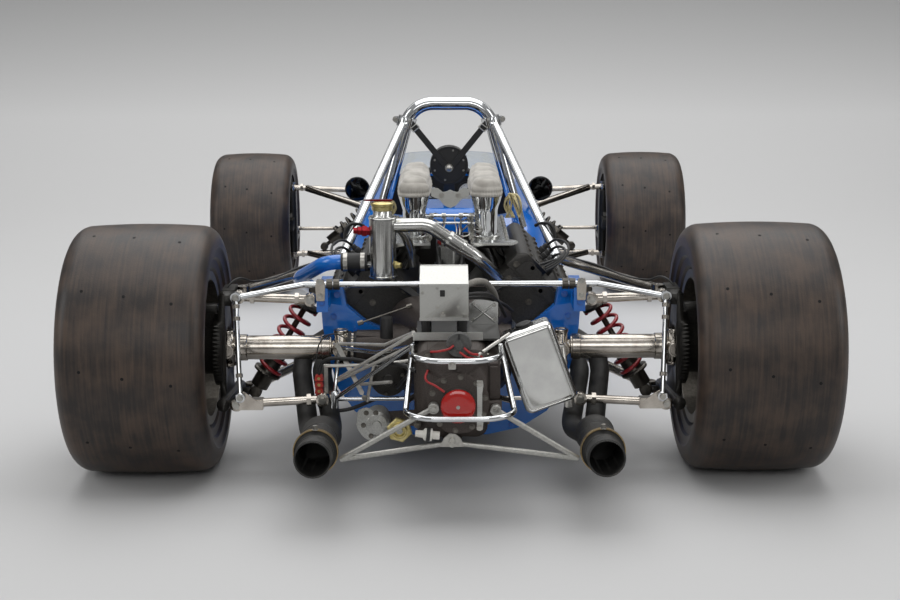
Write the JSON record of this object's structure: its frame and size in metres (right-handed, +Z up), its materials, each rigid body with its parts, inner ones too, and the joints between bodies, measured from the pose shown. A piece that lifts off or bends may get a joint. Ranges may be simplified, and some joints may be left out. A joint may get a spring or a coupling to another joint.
{
  "type": "open wheel racing car",
  "caption": "Single-seat open wheel racing car: riveted tub, rear V engine with intake trumpets, outboard coil suspension, wide slick tyres and steered front wheels.",
  "frame": {"origin": "on the ground, under the middle of the car's length and width", "axes": "+X to the car's right, +Y forwards, +Z up"},
  "size_m": [1.9734, 3.74, 0.918],
  "materials": {
    "blue_paint": "gloss",
    "tyre_rubber": "matte",
    "cast_magnesium": "satin",
    "cast_aluminium": "satin",
    "wheel_magnesium": "satin",
    "chrome_tube": "polished",
    "nickel_steel": "polished",
    "exhaust_black": "matte",
    "red_paint": "gloss",
    "black_plastic": "matte",
    "cloth": "matte",
    "clear_screen": "gloss",
    "red_lens": "gloss",
    "leather_black": "satin"
  },
  "bodies": {
    "chassis": {"anti_roll_bar": "nickel_steel", "cam_covers": "cast_magnesium", "catch_tank": "cast_aluminium", "cross_plate": "blue_paint", "cylinder_heads": "cast_aluminium", "dampers": "cast_aluminium", "dash_panel": "black_plastic", "engine_block": "cast_aluminium", "exhaust_left": "exhaust_black", "exhaust_right": "exhaust_black", "front_arms": "nickel_steel", "gearbox": "cast_magnesium", "header_tank": "cast_aluminium", "headrest": "leather_black", "ignition_box": "cast_aluminium", "intake_covers": "cloth", "intake_trumpets": "chrome_tube", "mirrors": "black_plastic", "monocoque_tub": "blue_paint", "nose_cone": "blue_paint", "rack_housing": "cast_aluminium", "radiator": "cast_aluminium", "rear_frame": "chrome_tube", "rear_lamp": "red_lens", "rear_links": "nickel_steel", "rear_uprights": "cast_magnesium", "roll_hoop": "chrome_tube", "roll_hoop_stays": "chrome_tube", "scuttle_cowl": "blue_paint", "seat": "leather_black", "springs": "red_paint", "throttle_slides": "cast_aluminium", "water_return_pipe": "blue_paint", "windscreen": "clear_screen"},
    "front_upright_body_left": {"front_upright_left": "cast_magnesium"},
    "front_wheel_body_left": {"front_tyre_left": "tyre_rubber", "front_wheel_left": "wheel_magnesium"},
    "rear_wheel_body_left": {"rear_tyre_left": "tyre_rubber", "rear_wheel_left": "wheel_magnesium", "driveshaft_left": "nickel_steel"},
    "front_upright_body_right": {"front_upright_right": "cast_magnesium"},
    "front_wheel_body_right": {"front_tyre_right": "tyre_rubber", "front_wheel_right": "wheel_magnesium"},
    "rear_wheel_body_right": {"rear_tyre_right": "tyre_rubber", "rear_wheel_right": "wheel_magnesium", "driveshaft_right": "nickel_steel"},
    "rack": {"track_rods": "nickel_steel"},
    "steering": {"steering_wheel": "leather_black"}
  },
  "joints": [
    {"name": "steer_left", "type": "hinge", "parent": "chassis", "child": "front_upright_body_left", "pos_m": [-0.648, 1.07, 0.285], "axis": [0, 0, 1], "range_deg": [-18, 18]},
    {"name": "steer_right", "type": "hinge", "parent": "chassis", "child": "front_upright_body_right", "pos_m": [0.648, 1.07, 0.285], "axis": [0, 0, 1], "range_deg": [-18, 18]},
    {"name": "rack_slide", "type": "slide", "parent": "chassis", "child": "rack", "axis": [-1, 0, 0], "range_m": [-0.03613, 0.03613]},
    {"name": "steering_wheel_turn", "type": "hinge", "parent": "chassis", "child": "steering", "pos_m": [0, 0.3363, 0.47], "axis": [0, -0.9397, 0.342], "range_deg": [-144, 144]},
    {"name": "front_wheel_spin_left", "type": "hinge", "parent": "front_upright_body_left", "child": "front_wheel_body_left", "pos_m": [-0.8, 1.07, 0.285], "axis": [1, 0, 0], "continuous": true},
    {"name": "rear_wheel_spin_left", "type": "hinge", "parent": "chassis", "child": "rear_wheel_body_left", "pos_m": [-0.8, -1.33, 0.33], "axis": [1, 0, 0], "continuous": true},
    {"name": "front_wheel_spin_right", "type": "hinge", "parent": "front_upright_body_right", "child": "front_wheel_body_right", "pos_m": [0.8, 1.07, 0.285], "axis": [1, 0, 0], "continuous": true},
    {"name": "rear_wheel_spin_right", "type": "hinge", "parent": "chassis", "child": "rear_wheel_body_right", "pos_m": [0.8, -1.33, 0.33], "axis": [1, 0, 0], "continuous": true}
  ],
  "couplings": [
    {"joint": "steer_right", "follows": "steer_left", "ratio": 1},
    {"joint": "rack_slide", "follows": "steer_left", "m_per_rad": 0.115},
    {"joint": "steering_wheel_turn", "follows": "steer_left", "ratio": 8}
  ]
}
